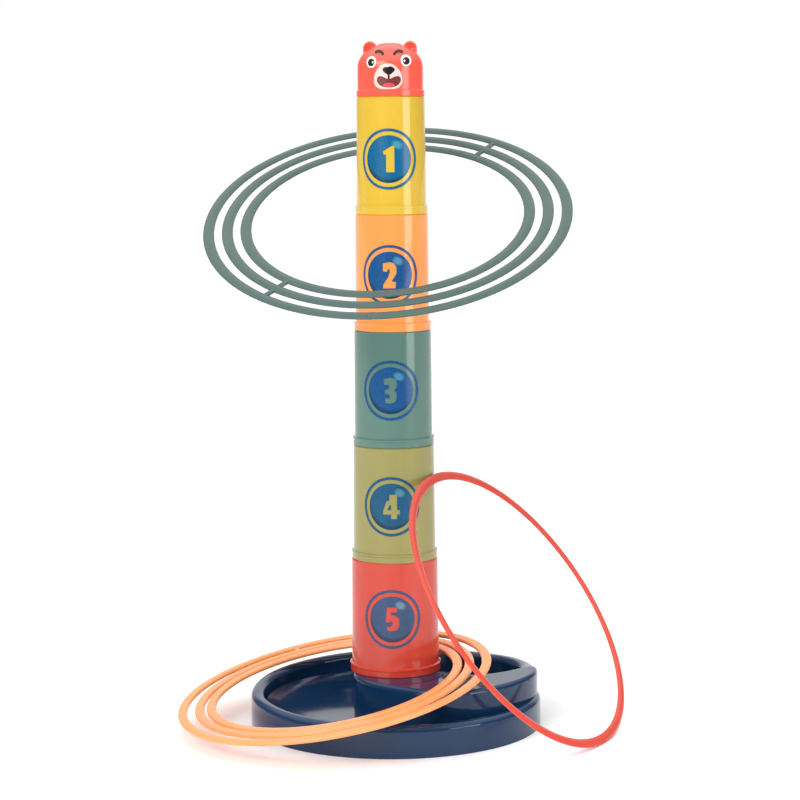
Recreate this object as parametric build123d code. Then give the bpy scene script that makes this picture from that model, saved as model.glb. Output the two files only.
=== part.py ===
from build123d import *
import math
import os

# Ring toss set: a tower of five stacking cups with a bear cap, on a round tray, with seven rings.
# Millimetres. +Z is the tower's axis, z = 0 is the underside of the tray, and the numbers and the
# bear's face look towards -Y.

# Tray
TRAY_R_HIGH = 86.0          # outer radius of the rim where it leaves the shelf
TRAY_R_LOW = 88.3           # outer radius of the rim at its low end
RIM_SPREAD = 200.0          # degrees over which the rim grows from one to the other
TRAY_TURN = 4.0             # degrees that the tray is turned under the tower
RIM_W = 8.5                 # width of the rolled rim
RIM_ROUND = 3.6             # rounding of the rim's top
SKIN = 2.4                  # wall thickness of the tray
SHELF_Z = 32.6              # top of the shelf, which the tower stands on
BOSS_R = 25.8
DISH_LOW = 6.2              # height of the dish at its middle
DISH_HIGH = 13.4            # height of the dish where it meets the rim
HUB_R = 9.0
RIB_T = 2.0

# Cups
PITCH = 69.0                # height that each cup adds to the tower
CUP_WALL = 1.6
CUP_ROOF = 1.8
ROOF_EDGE = 0.7             # bevel round the roof
LIP_H = 4.8
SPIGOT_H = 5.0              # raised disc that centres the cup above
SPIGOT_GAP = 0.4            # radial clearance around it
# number: (radius under the roof, radius above the lip, radius of the lip, height of the number's centre)
CUPS = {
    5: (26.0, 26.4, 27.4, 35.6),
    4: (24.2, 24.75, 25.65, 34.3),
    3: (22.95, 23.3, 24.25, 34.5),
    2: (21.6, 21.9, 22.8, 33.6),
    1: (20.2, 20.7, 21.55, 32.5),
}

# Bear cap
CAP_Z = SHELF_Z + 5 * PITCH
CAP_R = 19.5                # side of the head
CAP_BAND_R = 20.2
CAP_BAND_H = 3.75
CAP_SHOULDER = 17.0         # height at which the dome starts
CAP_DOME = 14.5             # height of the dome
CAP_WALL = 1.8
EAR_X = 11.9
EAR_R = 4.0
EAR_TOP = 32.5
EAR_T = 5.0

# Prints
INK = 0.2                   # thickness of the transfers and of the painted face
FACE_X = 0.5                # the nose and mouth sit this far off the middle of the face
EYE_X = 0.3                 # and the eyes and brows this far
EYE_APART = 10.1            # from the middle between the eyes to each
EYE_Z = 20.3                # height of the eyes above the cap's mouth
EYE_RISE = 0.35             # the eye at +X sits this much higher, the other this much lower
BADGE_R = 17.8              # measured along the cup's surface
BADGE_BAND = 1.6
BADGE_DISC_R = 13.9

# Rings: radii of the middle of the band, (width, thickness, thickness near the edge) of the band,
# centre, the lean as (degrees from level, azimuth that the low side points to), and for a set of
# three the turn of each pair of tabs round the rings
GREEN_RADII = (84.6, 95.7, 106.9)
GREEN_BAND = (6.6, 2.2, 1.0)
GREEN_CENTRE = (-2.5, -0.2, 306.3)
GREEN_LEAN = (28.6, -94.4)
GREEN_TABS = (58.2, -124.5)
ORANGE_RADII = (75.0, 82.2, 92.6)
ORANGE_BAND = (5.7, 2.7, 2.3)
ORANGE_CENTRE = (-35.4, -22.05, 27.3)
ORANGE_LEAN = (10.5, -151.0)
ORANGE_TABS = (-2.0, 172.0)
RED_RADIUS = 91.3
RED_BAND = (5.7, 2.2, 1.0)
RED_CENTRE_XY = (75.95, -26.1)
RED_LEAN = (54.3, -23.4)
TAB_W = 2.6
TAB_T = 1.5
BAND_EDGE = 0.5             # how far the rounded edge of a band reaches in


def polar(radius, degrees, z=None):
    """A point at a radius and an azimuth, with a height if one is given."""
    x = radius * math.cos(math.radians(degrees))
    y = radius * math.sin(math.radians(degrees))
    return (x, y) if z is None else (x, y, z)


def closed_face(points):
    """A flat face inside a polygon."""
    return make_face(Polyline(*points, close=True))


def revolved(points):
    """A solid turned about Z from a polygon of (radius, height) points."""
    return revolve(Plane.XZ * closed_face(points), Axis.Z)


# ---------------------------------------------------------------- tray

def rim_point(degrees):
    """Middle of the rim's top: it sinks from the shelf's level as it winds round the dish."""
    stations = ((-4, 32.4), (0, 32.2), (50, 27.2), (95, 25.4), (140, 23.4), (185, 20.8),
                (230, 19.4), (275, 18.8), (320, 18.5), (380, 18.2))
    for (a0, z0), (a1, z1) in zip(stations, stations[1:]):
        if a0 <= degrees <= a1:
            height = z0 + (z1 - z0) * (degrees - a0) / (a1 - a0)
            break
    share = min(max(degrees, 0), RIM_SPREAD) / RIM_SPREAD
    outer = TRAY_R_HIGH + (TRAY_R_LOW - TRAY_R_HIGH) * share
    if degrees > 352:
        outer -= (degrees - 352) * 0.11
    return polar(outer - RIM_W / 2, degrees, height)


def rim_section(degrees, width, rounding, drop):
    """The rim cut through at one azimuth: flat sides that stand on z = 0 under a rounded top."""
    x, y, height = rim_point(degrees)
    plane = Plane(origin=(x, y, 0), x_dir=polar(1, degrees, 0), z_dir=polar(1, degrees - 90, 0))
    section = Pos(0, (height - drop) / 2) * Rectangle(width, height - drop)
    return plane * fillet(section.vertices().group_by(Axis.Y)[-1], rounding)


def rim_length(start, end, width, rounding, drop=0.0):
    """A length of the rim between two azimuths."""
    count = round((end - start) / 14)
    stops = [start + (end - start) * i / count for i in range(count + 1)]
    return loft([rim_section(a, width, rounding, drop) for a in stops])


def rim():
    return rim_length(-4, 186, RIM_W, RIM_ROUND) + rim_length(186, 372, RIM_W, RIM_ROUND)


def rim_hollow():
    slot = RIM_W - 2 * SKIN
    return rim_length(4, 186, slot, 1.2, SKIN) + rim_length(186, 350, slot, 1.2, SKIN)


def moved_left(points, distance):
    """The points of a path, each moved to the left of the way that the path runs."""
    moved = []
    for i, (x, y) in enumerate(points):
        x0, y0 = points[max(i - 1, 0)]
        x1, y1 = points[min(i + 1, len(points) - 1)]
        step = math.hypot(x1 - x0, y1 - y0)
        moved.append((x - distance * (y1 - y0) / step, y + distance * (x1 - x0) / step))
    return moved


def arm_outline(inset):
    """The shelf's arm, which fans out of the boss and runs into the rim at the right."""
    front = [(-25.0, -3.0), (-24.6, -17.0), (-17.5, -33.0), (-2.0, -47.0), (16.0, -57.0), (33.0, -61.0),
             (49.0, -56.5), (64.5, -45.0), (77.5, -29.0), (84.3, -14.0), (TRAY_R_HIGH, 1.0)]
    back = [(77.0, 1.0), (66.5, -9.0), (54.5, -15.5), (41.0, -17.0), (29.0, -12.0), (16.0, 0.0)]
    front, back = moved_left(front, inset), moved_left(back, inset)
    edge = Spline(*front)
    return make_face(edge + Line(front[-1], back[0]) + Spline(*back) + Line(back[-1], front[0]))


def dish_curve(drop):
    """Half of the dish's profile, lowered by a distance."""
    outer = TRAY_R_HIGH - RIM_W + 1.5
    points = ((10, DISH_LOW - drop), (50, DISH_LOW + 0.5 - drop), (outer, DISH_HIGH - drop))
    return Spline(*points, tangents=((1, 0), (1, 0.85)))


def dish_solid(upper, lower):
    """What lies between two drops below the dish's surface, or above z = 0 if lower is None."""
    top = dish_curve(upper)
    if lower is None:
        bottom = Line(((top @ 0).X, 0), ((top @ 1).X, 0))
    else:
        bottom = dish_curve(lower)
    face = make_face(top + Polyline(top @ 1, bottom @ 1) + bottom + Polyline(bottom @ 0, top @ 0))
    return revolve(Plane.XZ * face, Axis.Z)


def dish_ribs():
    """Ribs under the dish, from the boss out to the rim."""
    ribs = [Rot(0, 0, a) * Pos(50, 0, 10) * Box(60, RIB_T, 20) for a in range(30, 331, 30)]
    return Part() + [rib & dish_solid(SKIN / 2, None) for rib in ribs]


def tray():
    arm = extrude(arm_outline(0), SHELF_Z)
    arm = fillet(arm.faces().sort_by(Axis.Z)[-1].outer_wire().edges(), 2.4)
    boss = Pos(0, 0, SHELF_Z / 2) * Cylinder(BOSS_R, SHELF_Z)
    body = rim() + dish_solid(0, SKIN) + dish_ribs() + arm + boss
    roof = SHELF_Z - SKIN
    pocket = extrude(arm_outline(SKIN), roof) & Pos(0, 0, roof / 2) * Box(148, 200, roof)
    core = Pos(0, 0, roof / 2) * Cylinder(BOSS_R - SKIN, roof)
    body = body - (pocket + core) - rim_hollow()
    deep = SHELF_Z - SKIN / 2
    hub = Pos(0, 0, deep / 2) * Cylinder(HUB_R, deep)
    web = Pos(0, 0, deep / 2) * Box(2 * BOSS_R - SKIN, RIB_T, deep)
    webs = [Rot(0, 0, a) * web for a in (15, 75, 135)]
    spigot = Pos(0, 0, SHELF_Z + SPIGOT_H / 2) * Cylinder(spigot_radius(5), SPIGOT_H)
    spigot = chamfer(spigot.edges().sort_by(Axis.Z)[-1], 0.8)
    return Rot(0, 0, TRAY_TURN) * (body + hub + webs + spigot)


# ---------------------------------------------------------------- cups and their numbers

def spigot_radius(number):
    """Radius of the raised disc that goes up inside this cup, or inside the cap for number 0."""
    mouth = CUPS[number][1] - CUP_WALL if number else CAP_R - CAP_WALL
    return mouth - SPIGOT_GAP


def cup_floor(number):
    return SHELF_Z + (5 - number) * PITCH


def wall_radius(number, height):
    """Outer radius of a cup's tapered wall at a height above its lip's edge."""
    roof_r, foot_r = CUPS[number][:2]
    low, high = LIP_H + 0.5, PITCH - ROOF_EDGE
    return foot_r + (roof_r - foot_r) * (height - low) / (high - low)


def cup(number):
    roof_r, foot_r, lip_r, _ = CUPS[number]
    disc = spigot_radius(number - 1)
    outside = [(0, PITCH + SPIGOT_H), (disc - 0.8, PITCH + SPIGOT_H), (disc, PITCH + SPIGOT_H - 0.8),
               (disc, PITCH), (roof_r - ROOF_EDGE, PITCH), (roof_r, PITCH - ROOF_EDGE),
               (foot_r, LIP_H + 0.5),
               (lip_r + 0.25, LIP_H), (lip_r + 0.25, LIP_H - 0.9), (lip_r, LIP_H - 1.3),
               (lip_r, 0.3), (lip_r - 0.3, 0)]
    inside = [(foot_r - CUP_WALL, 0), (roof_r - CUP_WALL, PITCH - CUP_ROOF),
              (disc - CUP_WALL, PITCH - CUP_ROOF), (disc - CUP_WALL, PITCH + SPIGOT_H - CUP_ROOF),
              (0, PITCH + SPIGOT_H - CUP_ROOF)]
    return Pos(0, 0, cup_floor(number)) * revolved(outside + inside)


def ink_shell(number):
    """The skin of a cup's wall that its transfer fills."""
    low, high = 8.0, PITCH - 4.0
    near, far = wall_radius(number, low), wall_radius(number, high)
    return revolved([(near, low), (near + INK, low), (far + INK, high), (far, high)])


def wrapped_circle(radius, cup_r):
    """A circle drawn on the cup's round wall, as it is seen from straight in front."""
    turns = [math.radians(15 * i) for i in range(24)]
    points = [(cup_r * math.sin(radius * math.cos(t) / cup_r), radius * math.sin(t)) for t in turns]
    return make_face(Spline(*points, periodic=True))


DIGITS = {
    1: [(-1.5, -7.7), (3.5, -7.7), (3.5, 7.7), (1.9, 7.7), (-3.4, 4.5), (-2.8, 2.3), (-1.5, 2.9)],
    2: [(-3.8, 7.0), (0.1, 7.8), (2.8, 7.0), (4.2, 4.6), (4.1, 0.9), (1.2, -3.7), (3.9, -3.9),
        (3.5, -7.7), (-3.9, -7.7), (-3.6, -5.2), (-0.7, -1.0), (0.3, 2.4), (-0.4, 4.1), (-1.2, 3.3),
        (-1.1, 2.1), (-3.8, 2.2)],
    3: [(-3.9, 7.0), (0.0, 7.8), (3.1, 7.0), (4.1, 4.1), (3.6, 1.6), (2.4, 0.2), (3.6, -1.2),
        (3.9, -3.9), (3.0, -6.6), (0.4, -7.8), (-3.1, -7.3), (-3.3, -4.4), (-1.9, -4.2), (-0.6, -4.5),
        (-0.3, -3.0), (-1.4, -2.0), (-3.2, -2.2), (-3.4, 0.5), (-1.5, 0.8), (-0.6, 2.0), (-0.8, 3.5),
        (-2.1, 3.3), (-3.8, 3.5)],
    4: [(-1.2, 7.3), (3.5, 7.3), (3.5, -1.9), (5.1, -1.9), (5.1, -4.7), (3.5, -4.7), (3.5, -7.4),
        (-0.2, -7.4), (-0.2, -4.7), (-5.0, -4.7), (-5.0, -2.4), (-2.7, 3.6), (-1.2, 3.6)],
    5: [(-3.0, 7.2), (3.1, 7.2), (3.1, 4.2), (-0.5, 4.1), (-0.6, 2.6), (1.9, 2.4), (4.1, 0.6),
        (4.4, -3.6), (2.8, -6.5), (-0.9, -7.2), (-3.3, -6.4), (-3.3, -4.2), (-1.6, -4.6), (-0.1, -3.8),
        (0.2, -1.8), (-1.1, -1.0), (-2.0, -1.9), (-4.1, -1.7)],
}
FOUR_EYE = [(-2.4, -2.1), (-1.1, 1.0), (-0.2, 1.0), (-0.2, -2.1)]


def digit(number):
    shape = closed_face(DIGITS[number])
    shape = fillet(shape.vertices(), 0.3)
    return shape - closed_face(FOUR_EYE) if number == 4 else shape


def badge(number, shape):
    """Lays a flat shape on the front of a cup as a transfer."""
    height = CUPS[number][3]
    block = extrude(Plane.XZ * Pos(0, height) * shape, 60)
    return Pos(0, 0, cup_floor(number)) * (block & ink_shell(number))


def badge_band(number):
    cup_r = wall_radius(number, CUPS[number][3])
    return badge(number, wrapped_circle(BADGE_R, cup_r) - wrapped_circle(BADGE_R - BADGE_BAND, cup_r))


def badge_disc(number):
    cup_r = wall_radius(number, CUPS[number][3])
    return badge(number, wrapped_circle(BADGE_DISC_R, cup_r) - digit(number))


# ---------------------------------------------------------------- bear cap and its face

def dome(radius, height, low):
    """A round-topped solid: a cylinder under half of an ellipsoid."""
    turns = [math.radians(22.5 * i) for i in range(5)]
    arc = Spline(*[(radius * math.cos(t), CAP_SHOULDER + height * math.sin(t)) for t in turns],
                 tangents=((0, 1), (-1, 0)))
    sides = Polyline(arc @ 1, (0, low), (radius, low), arc @ 0)
    return revolve(Plane.XZ * make_face(arc + sides), Axis.Z)


def head():
    outside = dome(CAP_R, CAP_DOME, 0)
    band = revolved([(CAP_R - 1, 0), (CAP_BAND_R - 0.3, 0), (CAP_BAND_R, 0.3),
                     (CAP_BAND_R, CAP_BAND_H - 0.3), (CAP_R, CAP_BAND_H + 0.3),
                     (CAP_R - 1, CAP_BAND_H + 0.3)])
    inside = dome(CAP_R - CAP_WALL, CAP_DOME - CAP_WALL, -1)
    ears = [ear(x) - inside for x in (EAR_X, -EAR_X)]
    return Pos(0, 0, CAP_Z) * (outside - inside + band + ears)


def ear(x):
    """A round ear with a shallow hollow in its front."""
    middle = EAR_TOP - EAR_R
    upright = Pos(0, middle) * Circle(EAR_R) + Pos(0, middle - 4) * Rectangle(2 * EAR_R, 8)
    body = extrude(Plane.XZ * upright, EAR_T / 2, both=True)
    rims = body.edges().filter_by(GeomType.CIRCLE)
    body = fillet(rims, 1.6)
    hollow = Pos(0, -EAR_T / 2 - 3.6, EAR_TOP - EAR_R - 0.4) * Sphere(5.0)
    return Pos(x, 0, 0) * (body - hollow)


def paint(shape):
    """Lays a flat shape on the front of the head as thin paint."""
    skin = dome(CAP_R + INK, CAP_DOME + INK, CAP_BAND_H + 0.3) - dome(CAP_R, CAP_DOME, 0)
    return Pos(0, 0, CAP_Z) * (extrude(Plane.XZ * shape, 60) & skin)


def smooth(points):
    """A face inside a smooth closed curve."""
    return make_face(Spline(*points, periodic=True))


def eye(side):
    place = Pos(side * EYE_APART + EYE_X, EYE_Z + side * EYE_RISE)
    return place * Rot(0, 0, side * 12) * Ellipse(2.95, 3.4)


def pupil(side):
    place = Pos(side * (EYE_APART + 0.15) + EYE_X, EYE_Z - 0.25 + side * EYE_RISE)
    return place * Rot(0, 0, side * 10) * Ellipse(2.0, 2.3)


def glint(side):
    return Pos(side * (EYE_APART - 0.8) + EYE_X, EYE_Z - 0.2 + side * EYE_RISE) * Ellipse(0.5, 0.65)


def brow(side):
    curve = Spline((side * 7.6 + EYE_X, 25.8), (side * 5.7 + EYE_X, 26.3), (side * 3.4 + EYE_X, 24.6))
    stroke = trace(curve, 1.8)
    return stroke + Pos(*(curve @ 0)) * Circle(0.85) + Pos(*(curve @ 1)) * Circle(0.85)


def mirrored(centre, half):
    """A smooth closed curve that is the same on both sides of an upright line, from its right half."""
    left = [(-x, y) for x, y in reversed(half[1:-1])]
    return Pos(centre, 0) * smooth(half + left)


def muzzle():
    return mirrored(0.0, [(0.0, 18.9), (3.0, 18.3), (5.6, 16.3), (7.7, 13.1), (8.3, 9.4), (7.5, 6.2),
                          (4.9, 4.45), (0.0, 4.15)])


def nose():
    tip = mirrored(FACE_X, [(0.0, 17.0), (2.4, 16.8), (3.6, 15.5), (2.4, 13.6), (0.0, 12.3)])
    return tip + Pos(FACE_X, 11.3) * Rectangle(1.2, 2.8)


def mouth():
    return mirrored(FACE_X, [(0.0, 10.0), (2.2, 10.7), (4.5, 11.6), (6.4, 11.2), (7.0, 9.5), (6.3, 7.4),
                             (4.6, 5.9), (2.4, 5.2), (0.0, 5.0)])


def tongue():
    return mirrored(FACE_X, [(0.0, 7.8), (2.0, 7.4), (3.3, 6.5), (3.4, 5.9), (2.0, 5.45), (0.0, 5.3)])


def face_paint():
    """The painted face, each colour cut to leave room for the ones inside it."""
    eyes, pupils, glints = (Sketch() + [make(-1), make(1)] for make in (eye, pupil, glint))
    return {
        "bear_eye_whites": paint(eyes - pupils + glints),
        "bear_pupils": paint(pupils - glints),
        "bear_brows": paint(Sketch() + [brow(-1), brow(1)]),
        "bear_muzzle": paint(muzzle() - nose() - mouth()),
        "bear_nose": paint(nose() - mouth()),
        "bear_mouth": paint(mouth() - tongue()),
        "bear_tongue": paint(tongue()),
    }


# ---------------------------------------------------------------- rings

def ring(radius, band, plane):
    """A flat band with slightly crowned faces and rounded edges."""
    width, thick, edge_thick = band
    side, edge = width / 2 - BAND_EDGE, edge_thick / 2
    section = make_face([
        ThreePointArc((-side, edge), (0, thick / 2), (side, edge)),
        ThreePointArc((side, edge), (width / 2, 0), (side, -edge)),
        ThreePointArc((side, -edge), (0, -thick / 2), (-side, -edge)),
        ThreePointArc((-side, -edge), (-width / 2, 0), (-side, edge)),
    ])
    return plane * revolve(Plane.XZ * Pos(radius, 0) * section, Axis.Z)


def tabs(radii, band, turns, plane):
    """The small bridges that hold three rings together, cut to the rings' edges."""
    bars = []
    for turn in turns:
        for inner, outer in zip(radii, radii[1:]):
            bar = Pos((inner + outer) / 2, 0, 0) * Box(outer - inner, TAB_W, TAB_T)
            bars.append(plane * (Rot(0, 0, turn) * bar))
    rings = [ring(r, band, plane) for r in radii]
    return Part() + [bar - rings for bar in bars]


def leaning(centre, lean):
    """A plane that dips towards an azimuth: its own -Y points down the slope."""
    tilt, azimuth = lean
    return Plane(centre) * Plane(Rot(0, 0, azimuth + 90) * Rot(tilt, 0, 0))


def ring_set(colour, radii, band, centre, lean, turns):
    plane = leaning(centre, lean)
    sizes = zip(("inner", "middle", "outer"), radii)
    nodes = {f"{colour}_ring_{size}": ring(radius, band, plane) for size, radius in sizes}
    nodes[f"{colour}_ring_tabs"] = tabs(radii, band, turns, plane)
    return nodes


def red_ring():
    """The single ring: its edge stands on z = 0 and its high side rests against the tower."""
    reach = RED_RADIUS + RED_BAND[0] / 2 - BAND_EDGE
    height = reach * math.sin(math.radians(RED_LEAN[0])) + BAND_EDGE + 0.02
    return ring(RED_RADIUS, RED_BAND, leaning((*RED_CENTRE_XY, height), RED_LEAN))


def main():
    os.makedirs("parts", exist_ok=True)
    nodes = {"base_tray": tray(), "bear_cap": head()}
    for number in CUPS:
        nodes[f"cup_{number}"] = cup(number)
        nodes[f"badge_{number}_band"] = badge_band(number)
        nodes[f"badge_{number}_disc"] = badge_disc(number)
    nodes |= face_paint()
    nodes |= ring_set("green", GREEN_RADII, GREEN_BAND, GREEN_CENTRE, GREEN_LEAN, GREEN_TABS)
    nodes |= ring_set("orange", ORANGE_RADII, ORANGE_BAND, ORANGE_CENTRE, ORANGE_LEAN, ORANGE_TABS)
    nodes["red_ring"] = red_ring()
    for name, shape in nodes.items():
        export_step(shape, f"parts/{name}.step")


main()
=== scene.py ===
"""Ring toss set: materials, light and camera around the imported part. Metres, in the part's own frame."""
import math

import bpy
from mathutils import Matrix, Vector


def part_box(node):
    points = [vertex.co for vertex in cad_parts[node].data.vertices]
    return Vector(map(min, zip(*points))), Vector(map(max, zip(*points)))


# Colours of the plastics and inks, in sRGB from 0 to 255
CUP_COLOURS = {1: (213, 176, 56), 2: (242, 149, 74), 3: (85, 119, 109), 4: (145, 139, 80), 5: (198, 63, 47)}
INK_COLOURS = {1: (6, 92, 134), 2: (18, 74, 126), 3: (6, 73, 128), 4: (10, 77, 112), 5: (50, 74, 110)}
BEAR_COLOUR = (244, 90, 72)
TRAY_COLOUR = (16, 46, 79)
RING_COLOURS = {"green": (68, 91, 86), "orange": (252, 158, 98), "red": (210, 76, 60)}
PAINTS = {
    "bear_eye_whites": (250, 244, 240),
    "bear_pupils": (40, 22, 20),
    "bear_brows": (44, 20, 22),
    "bear_muzzle": (250, 200, 196),
    "bear_nose": (22, 14, 16),
    "bear_mouth": (112, 50, 42),
    "bear_tongue": (208, 78, 92),
}

# Camera
CAMERA_AT = Vector((0.1005, -1.3753, 0.3593))
CAMERA_TURN = 4.012         # degrees to the left of +Y
CAMERA_PITCH = -6.72
CAMERA_ROLL = -0.51
CAMERA_LENS = 104.0         # millimetres, on a 36 mm sensor

# Refraction of the plastics and inks
GLOSSY = 1.5
SATIN = 1.4
TRAY_INDEX = 1.43
INK_INDEX = 1.42

# The painted highlight on each print, a pale spot, in radii of the print
PAINTED_HIGHLIGHT_ACROSS = 0.36
PAINTED_HIGHLIGHT_UP = 0.6
PAINTED_HIGHLIGHT_WIDTH = 0.2
PAINTED_HIGHLIGHT_HEIGHT = 0.15
PAINTED_HIGHLIGHT_TURN = 25              # degrees
PAINTED_HIGHLIGHT_COLOUR = (170, 225, 215)
PAINTED_HIGHLIGHT_STRENGTH = 0.38

# The part of each print clear of its painted shade, a dark crescent along the bottom, in radii of the print
LIT_ACROSS = 0.06
LIT_UP = 0.12
LIT_RADIUS = 0.97

# Brightness of the studio's surroundings, and the part of the way to +Y or +Z over which it changes
AIR_SIDES = 0.25
AIR_BACK = 1.02
AIR_BACK_FADE = (0.8, 0.93)
AIR_TOP = 1.5
AIR_TOP_FADE = (0.35, 0.8)

# Softboxes: azimuth in degrees from -Y towards +X, distance, height, panel size, watts
SOFTBOXES = {
    "strip": (58, 1.1, 0.30, (0.5, 0.4), 3.1),
    "key": (-28, 2.0, 1.1, (1.2, 1.2), 30),
    "top": (0, 0.5, 1.7, (1.2, 1.2), 2),
}
AIM = Vector((0, 0, 0.22))  # where they all point

# Floor: how far it reaches, where along Y it fades from grey to white, and the grey
FLOOR_REACH = 60.0
FLOOR_FADE = (-1.6, -0.2)
FLOOR_GREY = (140, 140, 140)


# ---------------------------------------------------------------- materials

def linear(colour):
    """An sRGB colour from 0 to 255 as the linear RGBA that shaders take."""
    def one(v):
        v /= 255
        return v / 12.92 if v <= 0.04045 else ((v + 0.055) / 1.055) ** 2.4
    return (*[one(v) for v in colour], 1.0)


def scaled(colour, factor):
    return tuple(min(255, v * factor) for v in colour)


class Shader:
    """A material under construction, with short calls for its nodes."""

    def __init__(self, name):
        self.material = bpy.data.materials.new(name)
        self.material.use_nodes = True
        self.tree = self.material.node_tree
        self.surface = self.tree.nodes["Principled BSDF"]
        self.place = self.add("ShaderNodeTexCoord").outputs["Object"]

    def add(self, kind, **settings):
        node = self.tree.nodes.new(kind)
        for key, value in settings.items():
            setattr(node, key, value)
        return node

    def join(self, source, target):
        self.tree.links.new(source, target)

    def noise(self, scale, detail=2.0, roughness=0.5):
        node = self.add("ShaderNodeTexNoise")
        node.inputs["Scale"].default_value = scale
        node.inputs["Detail"].default_value = detail
        node.inputs["Roughness"].default_value = roughness
        self.join(self.place, node.inputs["Vector"])
        return node.outputs["Fac"]

    def between(self, value, low, high, start=0.3, end=0.7):
        """A value stretched from start..end to low..high."""
        node = self.add("ShaderNodeMapRange")
        for name, number in (("From Min", start), ("From Max", end), ("To Min", low), ("To Max", high)):
            node.inputs[name].default_value = number
        self.join(value, node.inputs["Value"])
        return node.outputs["Result"]

    def mix(self, factor, first, second):
        """One colour or the other by a factor; each colour is a socket or an sRGB triple."""
        node = self.add("ShaderNodeMix", data_type="RGBA")
        self.join(factor, node.inputs["Factor"])
        for socket, colour in ((node.inputs[6], first), (node.inputs[7], second)):
            if isinstance(colour, tuple):
                socket.default_value = linear(colour)
            else:
                self.join(colour, socket)
        return node.outputs[2]

    def bump(self, height, distance):
        node = self.add("ShaderNodeBump")
        node.inputs["Distance"].default_value = distance
        node.inputs["Strength"].default_value = 1.0
        self.join(height, node.inputs["Height"])
        self.join(node.outputs["Normal"], self.surface.inputs["Normal"])

    def finish(self, **plain):
        for name, number in plain.items():
            self.surface.inputs[name.replace("_", " ")].default_value = number
        return self.material


def moulded(name, colour, rough=0.13, index=GLOSSY):
    """Glossy moulded plastic, with a slightly uneven pigment, orange peel and a fine haze of handling."""
    s = Shader(name)
    clouds = s.between(s.noise(28.0, 3.0), 0.0, 1.0)
    body = s.mix(clouds, scaled(colour, 0.98), scaled(colour, 1.02))
    s.join(body, s.surface.inputs["Base Color"])
    haze = s.between(s.noise(90.0, 3.0, 0.6), rough * 0.85, rough * 1.2)
    s.join(haze, s.surface.inputs["Roughness"])
    s.bump(s.noise(90.0, 1.0), 0.000006)
    return s.finish(IOR=index)


def painted(name, colour):
    """Pad-printed paint: an even colour with a faint grain."""
    s = Shader(name)
    grain = s.between(s.noise(900.0, 2.0), 0.0, 1.0)
    s.join(s.mix(grain, scaled(colour, 0.97), scaled(colour, 1.02)), s.surface.inputs["Base Color"])
    s.join(s.between(s.noise(600.0, 2.0), 0.22, 0.32), s.surface.inputs["Roughness"])
    s.bump(s.noise(1500.0, 2.0), 0.000003)
    return s.finish(IOR=INK_INDEX)


def transfer(name, colour, low, high):
    """A heat-transfer print: grainy ink, with a painted highlight, a pale spot, at its upper right and
    painted shade, a dark crescent, below.
    """
    centre = (low + high) / 2
    radius = (high.z - low.z) / 2
    s = Shader(name)

    def falloff(across, up, width, height, soft, turn=0.0):
        """1 inside an ellipse on the print and 0 outside it, soft at its edge; lengths are in radii."""
        node = s.add("ShaderNodeMapping", vector_type="TEXTURE")
        node.inputs["Location"].default_value = (across * radius, 0, centre.z + up * radius)
        node.inputs["Rotation"].default_value = (0, math.radians(turn), 0)
        node.inputs["Scale"].default_value = (width * radius, 1, height * radius)
        s.join(s.place, node.inputs["Vector"])
        flat = s.add("ShaderNodeVectorMath", operation="MULTIPLY")
        flat.inputs[1].default_value = (1, 0, 1)
        s.join(node.outputs["Vector"], flat.inputs[0])
        length = s.add("ShaderNodeVectorMath", operation="LENGTH")
        s.join(flat.outputs["Vector"], length.inputs[0])
        return s.between(length.outputs["Value"], 1.0, 0.0, 1 - soft, 1 + soft)

    grain = s.between(s.noise(1400.0, 3.0, 0.7), 0.0, 1.0)
    ink = s.mix(grain, scaled(colour, 0.9), scaled(colour, 1.12))
    # Painted shade: outside the lit ellipse the ink is darkened to 0.68, a dark crescent along the bottom
    # of the print
    lit = falloff(LIT_ACROSS, LIT_UP, LIT_RADIUS, LIT_RADIUS, 0.06)
    ink = s.mix(lit, scaled(colour, 0.68), ink)
    # Painted highlight: the ink turns pale in a soft spot at the upper right of the print
    painted_highlight_mask = falloff(PAINTED_HIGHLIGHT_ACROSS, PAINTED_HIGHLIGHT_UP, PAINTED_HIGHLIGHT_WIDTH, PAINTED_HIGHLIGHT_HEIGHT, 0.35, PAINTED_HIGHLIGHT_TURN)
    painted_highlight_ink = tuple((1 - PAINTED_HIGHLIGHT_STRENGTH) * v + PAINTED_HIGHLIGHT_STRENGTH * w for v, w in zip(colour, PAINTED_HIGHLIGHT_COLOUR))
    ink = s.mix(painted_highlight_mask, ink, painted_highlight_ink)
    s.join(ink, s.surface.inputs["Base Color"])
    s.join(s.between(s.noise(1100.0, 3.0, 0.7), 0.12, 0.3), s.surface.inputs["Roughness"])
    s.bump(s.noise(1300.0, 2.0, 0.6), 0.00006)
    return s.finish(IOR=INK_INDEX)


def floor_material():
    """White round the set and behind it, falling off to grey in front, out of the picture."""
    s = Shader("pale_floor")
    tone = s.between(s.noise(3.0, 2.0), 0.0, 1.0)
    white = s.mix(tone, (250, 250, 250), (253, 253, 253))
    axes = s.add("ShaderNodeSeparateXYZ")
    s.join(s.place, axes.inputs[0])
    near = s.between(axes.outputs["Y"], 1.0, 0.0, *FLOOR_FADE)
    s.join(s.mix(near, white, FLOOR_GREY), s.surface.inputs["Base Color"])
    return s.finish(Roughness=0.6)


def wear(node, material):
    """Gives a CAD node a material over its whole surface."""
    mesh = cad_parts[node].data
    mesh.materials.clear()
    mesh.materials.append(material)


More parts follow.
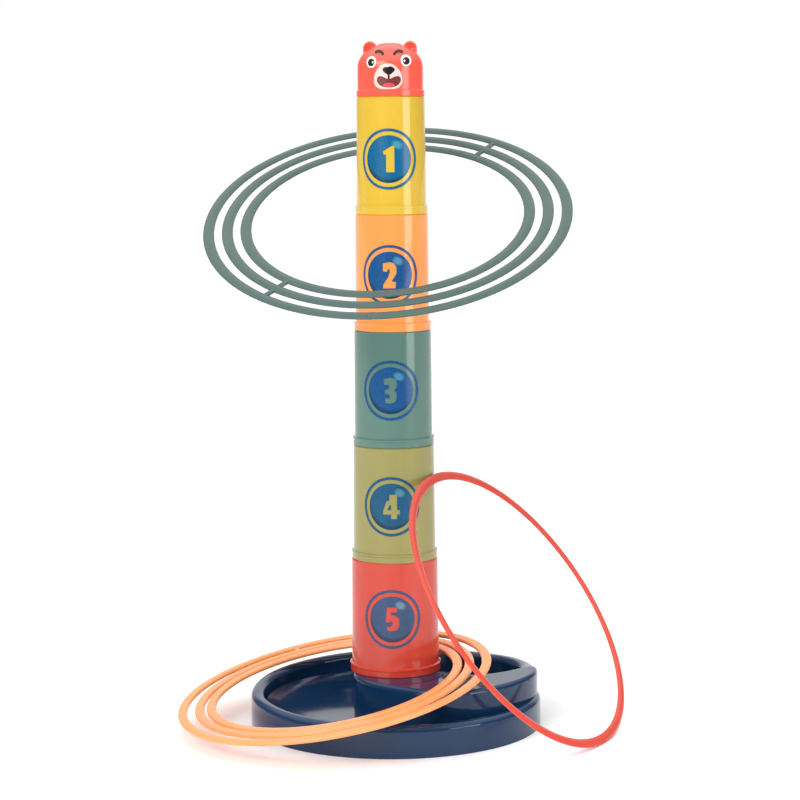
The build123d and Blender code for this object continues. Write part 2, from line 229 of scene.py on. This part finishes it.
def dress():
    for number, colour in CUP_COLOURS.items():
        wear(f"cup_{number}", moulded(f"cup_{number}_plastic", colour))
        low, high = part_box(f"badge_{number}_disc")
        ink = transfer(f"cup_{number}_ink", INK_COLOURS[number], low, high)
        wear(f"badge_{number}_disc", ink)
        wear(f"badge_{number}_band", painted(f"cup_{number}_band_ink", INK_COLOURS[number]))
    wear("bear_cap", moulded("bear_plastic", BEAR_COLOUR))
    for node, colour in PAINTS.items():
        wear(node, painted(f"{node}_paint", colour))
    wear("base_tray", moulded("tray_plastic", TRAY_COLOUR, rough=0.08, index=TRAY_INDEX))
    for colour in ("green", "orange"):
        plastic = moulded(f"{colour}_ring_plastic", RING_COLOURS[colour], rough=0.25, index=SATIN)
        for part in ("inner", "middle", "outer", "tabs"):
            wear(f"{colour}_ring_{part}", plastic)
    wear("red_ring", moulded("red_ring_plastic", RING_COLOURS["red"], rough=0.2, index=SATIN))


# ---------------------------------------------------------------- studio

def floor():
    """A pale floor that runs out of sight."""
    mesh = bpy.data.meshes.new("floor")
    ends = (-FLOOR_REACH, FLOOR_REACH)
    mesh.from_pydata([(x, y, 0) for y in ends for x in ends], [], [(0, 1, 3, 2)])
    mesh.materials.append(floor_material())
    sheet = bpy.data.objects.new("floor", mesh)
    bpy.context.scene.collection.objects.link(sheet)


def softbox(name, azimuth, distance, height, size, power):
    """A rectangular light that points at AIM."""
    a = math.radians(azimuth)
    place = Vector((math.sin(a) * distance, -math.cos(a) * distance, height))
    data = bpy.data.lights.new(name, "AREA")
    data.shape = "RECTANGLE"
    data.size, data.size_y = size
    data.energy = power
    lamp = bpy.data.objects.new(name, data)
    lamp.location = place
    lamp.rotation_mode = "QUATERNION"
    lamp.rotation_quaternion = (AIM - place).to_track_quat("-Z", "Y")
    bpy.context.scene.collection.objects.link(lamp)


def studio_air():
    """White behind the set and overhead, dimmer all round the sides."""
    world = bpy.data.worlds.new("studio")
    world.use_nodes = True
    tree = world.node_tree
    axes = tree.nodes.new("ShaderNodeSeparateXYZ")
    tree.links.new(tree.nodes.new("ShaderNodeTexCoord").outputs["Generated"], axes.inputs[0])

    def ramp(socket, fade, high):
        node = tree.nodes.new("ShaderNodeMapRange")
        node.interpolation_type = "SMOOTHSTEP"
        limits = (("From Min", fade[0]), ("From Max", fade[1]), ("To Min", AIR_SIDES), ("To Max", high))
        for name, number in limits:
            node.inputs[name].default_value = number
        tree.links.new(axes.outputs[socket], node.inputs["Value"])
        return node.outputs["Result"]

    brighter = tree.nodes.new("ShaderNodeMath")
    brighter.operation = "MAXIMUM"
    tree.links.new(ramp("Y", AIR_BACK_FADE, AIR_BACK), brighter.inputs[0])
    tree.links.new(ramp("Z", AIR_TOP_FADE, AIR_TOP), brighter.inputs[1])
    background = tree.nodes["Background"]
    background.inputs["Color"].default_value = (1, 1, 1, 1)
    tree.links.new(brighter.outputs[0], background.inputs["Strength"])
    bpy.context.scene.world = world


def light():
    studio_air()
    for name, settings in SOFTBOXES.items():
        softbox(name, *settings)


def camera():
    """Looks at the tower from in front and a little above, tipped slightly about its own axis."""
    data = bpy.data.cameras.new("camera")
    data.lens = CAMERA_LENS
    data.sensor_width = 36.0
    data.clip_end = 50.0
    eye = bpy.data.objects.new("camera", data)
    turn = Matrix.Rotation(math.radians(CAMERA_TURN), 4, "Z")
    pitch = Matrix.Rotation(math.radians(90 + CAMERA_PITCH), 4, "X")
    roll = Matrix.Rotation(math.radians(CAMERA_ROLL), 4, "Z")
    eye.matrix_world = Matrix.Translation(CAMERA_AT) @ turn @ pitch @ roll
    bpy.context.scene.collection.objects.link(eye)
    bpy.context.scene.camera = eye


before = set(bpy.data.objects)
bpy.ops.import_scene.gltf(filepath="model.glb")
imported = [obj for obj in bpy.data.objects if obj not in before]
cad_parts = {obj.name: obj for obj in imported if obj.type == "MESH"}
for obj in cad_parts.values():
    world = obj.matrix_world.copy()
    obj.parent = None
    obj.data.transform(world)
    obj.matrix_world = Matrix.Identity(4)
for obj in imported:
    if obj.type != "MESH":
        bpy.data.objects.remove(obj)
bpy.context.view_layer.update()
dress()
floor()
light()
camera()
bpy.context.scene.view_settings.view_transform = "Standard"
